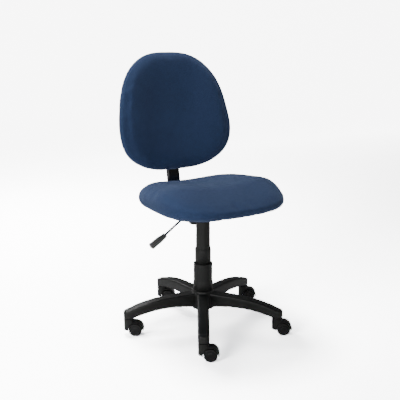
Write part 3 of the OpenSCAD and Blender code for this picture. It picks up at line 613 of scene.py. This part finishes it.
# ---------------------------------------------------------------------------------------------
# Seat: moulded foam on a plywood board, pulled over with navy cloth that is stapled under it,
# and a plastic cover over the staples. The foam is dished, with raised sides and a soft front.
# ---------------------------------------------------------------------------------------------
plywood = hard_material("plywood", (0.55, 0.40, 0.24), (0.55, 0.7), grain=0.2, pebbles=300.0)
shell_plastic = hard_material("shell_plastic", (0.008, 0.008, 0.009), (0.40, 0.52), grain=0.3)
paint_node(plywood, "seat_board", "back_board")
paint_node(shell_plastic, "seat_under_cover")


def make_weave_group():
    """Plain weave. In each of three planes two sets of threads cross: a thread's height is the size
    of a sine across it, and which set lies on top changes with the sign of the product of the two
    sines. The planes are blended by the fourth power of the surface direction. Heather is the uneven
    dye of the yarn."""
    tree, start, end = new_group(
        "plain_weave",
        [("Vector", "vector", None), ("Normal", "vector", None), ("Threads per metre", "float", 600.0)],
        [("Height", "float"), ("Warp", "float"), ("Heather", "float")],
    )
    where = tree.nodes.new("ShaderNodeVectorMath")
    where.operation = "SCALE"
    tree.links.new(start.outputs["Vector"], where.inputs[0])
    beat = math_node(tree, "MULTIPLY", start.outputs["Threads per metre"], math.pi)
    tree.links.new(beat, where.inputs["Scale"])
    axes = tree.nodes.new("ShaderNodeSeparateXYZ")
    tree.links.new(where.outputs[0], axes.inputs[0])
    facing = tree.nodes.new("ShaderNodeSeparateXYZ")
    tree.links.new(start.outputs["Normal"], facing.inputs[0])
    waves = {a: math_node(tree, "SINE", axes.outputs[a]) for a in "XYZ"}
    ridges = {a: math_node(tree, "ABSOLUTE", waves[a]) for a in "XYZ"}
    slants = {a: math_node(tree, "ABSOLUTE", facing.outputs[a]) for a in "XYZ"}
    weights = {a: math_node(tree, "POWER", slants[a], 4.0) for a in "XYZ"}
    total = math_node(tree, "ADD", math_node(tree, "ADD", weights["X"], weights["Y"]), weights["Z"])
    height = warp = None
    for a, b, across in (("X", "Y", "Z"), ("X", "Z", "Y"), ("Y", "Z", "X")):
        over = math_node(tree, "GREATER_THAN", math_node(tree, "MULTIPLY", waves[a], waves[b]), 0.0)
        under = math_node(tree, "SUBTRACT", 1.0, over)
        top = math_node(tree, "ADD", math_node(tree, "MULTIPLY", ridges[a], over),
                        math_node(tree, "MULTIPLY", ridges[b], under))
        share = math_node(tree, "DIVIDE", weights[across], total)
        height_part = math_node(tree, "MULTIPLY", top, share)
        warp_part = math_node(tree, "MULTIPLY", over, share)
        height = height_part if height is None else math_node(tree, "ADD", height, height_part)
        warp = warp_part if warp is None else math_node(tree, "ADD", warp, warp_part)
    tree.links.new(height, end.inputs["Height"])
    tree.links.new(warp, end.inputs["Warp"])
    heather = noise_node(tree, start.outputs["Vector"], 260.0, 3.0, 0.7)
    tree.links.new(range_node(tree, heather, 0.3, 0.7, 0.0, 1.0), end.inputs["Heather"])
    return tree


THREADS_PER_METRE = 620.0
THREAD_DEPTH = 0.0006


def cloth_material(name, dark, light, glow):
    """Woven upholstery: warp and weft in two close blues, uneven dye, painted shade between the threads,
    a soft sheen, and the weave in the normal."""
    material = bpy.data.materials.new(name)
    material.use_nodes = True
    tree = material.node_tree
    surface = tree.nodes["Principled BSDF"]
    place = tree.nodes.new("ShaderNodeTexCoord")
    weave = group_node(tree, make_weave_group(), Threads_per_metre=THREADS_PER_METRE)
    tree.links.new(place.outputs["Object"], weave.inputs["Vector"])
    tree.links.new(place.outputs["Normal"], weave.inputs["Normal"])
    yarn = mix_colors(tree, weave.outputs["Warp"], dark, light)
    flecks = range_node(tree, weave.outputs["Heather"], 0.0, 1.0, 0.0, 0.9)
    yarn = mix_colors(tree, flecks, yarn, tuple(1.45 * c for c in light))
    # Painted shade: the yarn darkens towards half the dark blue where the weave's height falls between
    # the threads.
    thread_gap_shade = range_node(tree, weave.outputs["Height"], 0.0, 0.5, 1.0, 0.0)
    yarn = mix_colors(tree, thread_gap_shade, yarn, tuple(0.5 * c for c in dark))
    worn = noise_node(tree, place.outputs["Object"], 7.0, 3.0)
    rubbed = range_node(tree, worn, 0.35, 0.7, 0.0, 0.22)
    yarn = mix_colors(tree, rubbed, yarn, tuple(1.5 * c for c in light))
    tree.links.new(yarn, surface.inputs["Base Color"])
    rough = range_node(tree, weave.outputs["Heather"], 0.0, 1.0, 0.8, 0.95)
    tree.links.new(rough, surface.inputs["Roughness"])
    surface.inputs["Specular IOR Level"].default_value = 0.25
    surface.inputs["Sheen Weight"].default_value = glow
    surface.inputs["Sheen Roughness"].default_value = 0.45
    surface.inputs["Sheen Tint"].default_value = (0.55, 0.68, 1.0, 1.0)
    bump = tree.nodes.new("ShaderNodeBump")
    bump.inputs["Strength"].default_value = 0.5
    bump.inputs["Distance"].default_value = THREAD_DEPTH
    tree.links.new(weave.outputs["Height"], bump.inputs["Height"])
    tree.links.new(bump.outputs["Normal"], surface.inputs["Normal"])
    return material


def rounded_outline(turn, power):
    """Superellipse of half-width and half-height 1 at the angles turn: the powers of the two
    distances from the middle add up to 1."""
    c, s = np.cos(turn), np.sin(turn)
    r = (np.abs(c) ** power + np.abs(s) ** power) ** (-1.0 / power)
    return r * c, r * s


def dome_faces(rings, around):
    """Faces of a closed dome: quads between rings of points, and a fan at each end round one of the
    last two points."""
    j = np.arange(around)
    k = (j + 1) % around
    i = np.arange(rings - 1)[:, None] * around
    quads = np.stack([i + j, i + k, i + around + k, i + around + j], -1).reshape(-1, 4)
    first, last = rings * around, rings * around + 1
    fans = [(first, int(b), int(a)) for a, b in zip(j, k)]
    ends = (rings - 1) * around
    fans += [(last, ends + int(a), ends + int(b)) for a, b in zip(j, k)]
    return [tuple(q) for q in quads] + fans


seat_low, seat_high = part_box("seat_cushion")
SEAT_MIDDLE = (seat_low + seat_high) / 2
SEAT_HALF = ((seat_high.x - seat_low.x) / 2, (seat_high.y - seat_low.y) / 2)
SEAT_CORNERS = 2.94
# Height of the widest line, the rise of the middle over it, what the sides add, and how deep the
# dish and the rear are below that.
SEAT_LINE = 0.512
SEAT_RISE = 0.064
SEAT_SIDE = 0.012
SEAT_DISH = 0.013
SEAT_REAR = 0.024
# Where the crest crosses the middle, as a share of the half depth, and how much of the rise is gone
# at the front edge.
SEAT_CREST = -0.48
SEAT_FALL = 0.82


def seat_shape(share, turn):
    """Seat foam at the share of the way out and the angle turn. Above the widest line the height is a
    power-law dome of the share. The sides are raised by a smooth step and a bell-shaped dish sits
    behind the middle. A crest crosses the seat, further back at the sides, and ahead of it a straight
    ramp takes the rise down to the front."""
    ux, uy = rounded_outline(turn, SEAT_CORNERS)
    x = SEAT_HALF[0] * ux * share
    y = SEAT_HALF[1] * uy * share
    sx, sy = ux * share, uy * share
    side = np.clip((np.abs(sx) - 0.10) / 0.62, 0, 1)
    rise = SEAT_RISE + SEAT_SIDE * side * side * (3 - 2 * side)
    rise = rise - SEAT_DISH * np.exp(-((sx / 0.55) ** 2) - (((sy - 0.25) / 0.42) ** 2))
    rise = rise - SEAT_REAR * np.clip((sy + 0.2) / 1.0, 0, 1)
    crest = SEAT_CREST + 0.26 * sx * sx
    ramp = (crest - sy) / (1 + crest)
    ramp = 0.5 * (ramp + np.sqrt(ramp * ramp + 0.008))
    rise = rise * (1 - SEAT_FALL * ramp)
    power = 3.2 + 1.2 * np.clip(-sy, 0, 1)
    dome = np.clip(1 - share ** power, 0, 1) ** (1 / power)
    return np.stack([SEAT_MIDDLE.x + x, SEAT_MIDDLE.y + y, SEAT_LINE + rise * dome], -1)


# Rings under the widest line: the share of the way out, and the drop.
SEAT_UNDER_RINGS = ((0.999, 0.005), (0.992, 0.0100), (0.976, 0.0145), (0.950, 0.0180),
                    (0.912, 0.0205), (0.86, 0.0222), (0.81, 0.0226), (0.79, 0.0200))


def build_seat():
    """The seat's closed form: rings of seat_shape from the middle to the widest line, then the same
    outline drawn in and dropped by the rings under it."""
    around = 160
    turn = np.linspace(0, 2 * math.pi, around, endpoint=False)
    # Shares crowd towards the edge, where the surface turns down.
    shares = np.sin(np.linspace(0.02, 1, 44) * math.pi / 2)
    top = np.stack([seat_shape(s, turn) for s in shares[:-1]] + [seat_shape(np.float64(1.0), turn)])
    rim = top[-1]
    middle = np.array([SEAT_MIDDLE.x, SEAT_MIDDLE.y, 0.0])
    under = []
    for out, drop in SEAT_UNDER_RINGS:
        ring = middle + (rim - middle) * out
        ring[:, 2] = rim[:, 2] - drop
        under.append(ring)
    rings = np.concatenate([top, np.stack(under)])
    end_top = seat_shape(np.float64(0.0), np.array([0.0]))[0]
    end_under = np.array([SEAT_MIDDLE.x, SEAT_MIDDLE.y, under[-1][0, 2]])
    points = np.concatenate([rings.reshape(-1, 3), np.stack([end_top, end_under])])
    # The rings run from the top down, so the faces are turned round to point outwards.
    faces = [tuple(reversed(f)) for f in dome_faces(len(rings), around)]
    return put_mesh("seat_upholstery", points, faces)


PAD_VOXEL = 0.0055
PAD_CAP = 0.005
PAD_PRESSURE = 4.0
PAD_FRAMES = 20
PAD_EVENING = 10


def puff(thing):
    """Swells a padded piece: an even remesh, cloth with pressure and no gravity for some frames, and
    then each point goes at most the cap from where it was. The mesh takes that shape, is evened, and
    gets one subdivision."""
    remesh = thing.modifiers.new("even_mesh", "REMESH")
    remesh.mode, remesh.voxel_size = "VOXEL", PAD_VOXEL
    with bpy.context.temp_override(object=thing, active_object=thing, selected_objects=[thing]):
        bpy.ops.object.modifier_apply(modifier=remesh.name)
    start = np.zeros(len(thing.data.vertices) * 3)
    thing.data.vertices.foreach_get("co", start)
    cloth = thing.modifiers.new("air", "CLOTH")
    cloth.settings.quality = 4
    cloth.settings.use_pressure = True
    cloth.settings.uniform_pressure_force = PAD_PRESSURE
    cloth.settings.effector_weights.gravity = 0.0
    cloth.point_cache.frame_start, cloth.point_cache.frame_end = 1, PAD_FRAMES
    for frame_number in range(1, PAD_FRAMES + 1):
        bpy.context.scene.frame_set(frame_number)
    shown = thing.evaluated_get(bpy.context.evaluated_depsgraph_get()).data
    end = np.zeros_like(start)
    shown.vertices.foreach_get("co", end)
    bpy.context.scene.frame_set(1)
    thing.modifiers.remove(cloth)
    move = (end - start).reshape(-1, 3)
    length = np.linalg.norm(move, axis=1, keepdims=True) + 1e-9
    move *= np.minimum(1.0, PAD_CAP / length)
    thing.data.vertices.foreach_set("co", (start.reshape(-1, 3) + move).ravel())
    thing.data.polygons.foreach_set("use_smooth", [True] * len(thing.data.polygons))
    thing.data.update()
    relax = thing.modifiers.new("evened", "SMOOTH")
    relax.factor, relax.iterations = 0.5, PAD_EVENING
    with bpy.context.temp_override(object=thing, active_object=thing, selected_objects=[thing]):
        bpy.ops.object.modifier_apply(modifier=relax.name)
    finish = thing.modifiers.new("finish", "SUBSURF")
    finish.levels = finish.render_levels = 1


def swell(thing):
    """The full swelling of a padded piece, through puff."""
    puff(thing)


navy = cloth_material("navy_cloth", (0.019, 0.038, 0.102), (0.033, 0.061, 0.144), 0.30)
seat = build_seat()
seat.data.materials.append(navy)
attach(seat, "seat_unit")
swell(seat)
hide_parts("seat_cushion")

# ---------------------------------------------------------------------------------------------
# Backrest: a moulded ply board wrapped round the sitter, with foam and cloth on its front and a
# ribbed plastic shell behind that hides the bracket. A steel bracket on the board rides the bar.
# ---------------------------------------------------------------------------------------------
BACK_HALF = (0.232, 0.229)
BACK_CORNERS = 2.65
BACK_EGG = 0.15
WRAP_RADIUS = 0.70
# Depths along the back's own frame: its widest line, the crown of its front, what the dish takes off
# that, and how far the rear lies behind the widest line.
BACK_LINE = -0.008
BACK_FRONT = -0.044
BACK_DISH = 0.012
BACK_REAR = 0.020
BACK_FULLNESS = 3.4
# Rings behind the widest line: the share of the way out, and the share of the rear's depth.
BACK_REAR_RINGS = ((0.999, 0.25), (0.993, 0.5), (0.98, 0.75), (0.96, 0.92), (0.93, 1.0))


def from_back(u, w, v):
    """From the back's own frame (across, to the rear, up along it) to the chair's."""
    y = BACK_PLACE[1] + w * math.cos(BACK_LEAN) + v * math.sin(BACK_LEAN)
    z = BACK_PLACE[2] - w * math.sin(BACK_LEAN) + v * math.cos(BACK_LEAN)
    return np.stack([u, y, z], -1)


def back_wrap(u):
    """How far the sides come forward at the distance u from the middle: the height of a circle's arc."""
    return -(WRAP_RADIUS - np.sqrt(WRAP_RADIUS ** 2 - u ** 2))


def build_back():
    """The back's closed form: an egg-shaped outline, narrower towards the top, carried along the arc
    of the wrap. Its front is a power-law dome of the share of the way out, with a dish that is flat
    in its middle, and a few rings close the rear."""
    around = 160
    turn = np.linspace(0, 2 * math.pi, around, endpoint=False)
    ux, uy = rounded_outline(turn, BACK_CORNERS)

    def ring(share, depth, dish):
        u = BACK_HALF[0] * ux * share * (1 - BACK_EGG * uy * share)
        v = BACK_HALF[1] * uy * share
        w = depth + back_wrap(u) + dish * np.exp(-(u / 0.125) ** 4 - ((v + 0.02) / 0.19) ** 4)
        return from_back(u, w, v)

    shares = np.sin(np.linspace(0.02, 1, 40) * math.pi / 2)
    front = []
    for s in shares:
        full = (1 - s ** BACK_FULLNESS) ** (1 / BACK_FULLNESS) if s < 1 else 0.0
        front.append(ring(s, BACK_LINE + (BACK_FRONT - BACK_LINE) * full, BACK_DISH * full))
    rear = [ring(s, BACK_LINE + BACK_REAR * d, 0.0) for s, d in BACK_REAR_RINGS]
    rings = np.stack(front + rear)
    end_front = from_back(np.array([0.0]), np.array([BACK_FRONT + BACK_DISH]), np.array([0.0]))[0]
    end_rear = from_back(np.array([0.0]), np.array([0.003]), np.array([0.0]))[0]
    points = np.concatenate([rings.reshape(-1, 3), np.stack([end_front, end_rear])])
    return put_mesh("back_upholstery", points, dome_faces(len(rings), around))


back = build_back()
back.data.materials.append(navy)
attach(back, "back_unit")
swell(back)
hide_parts("back_cushion")

moulded_copy("back_shell", "rear_shell", "back_unit", shell_plastic, 0.0024, 6)
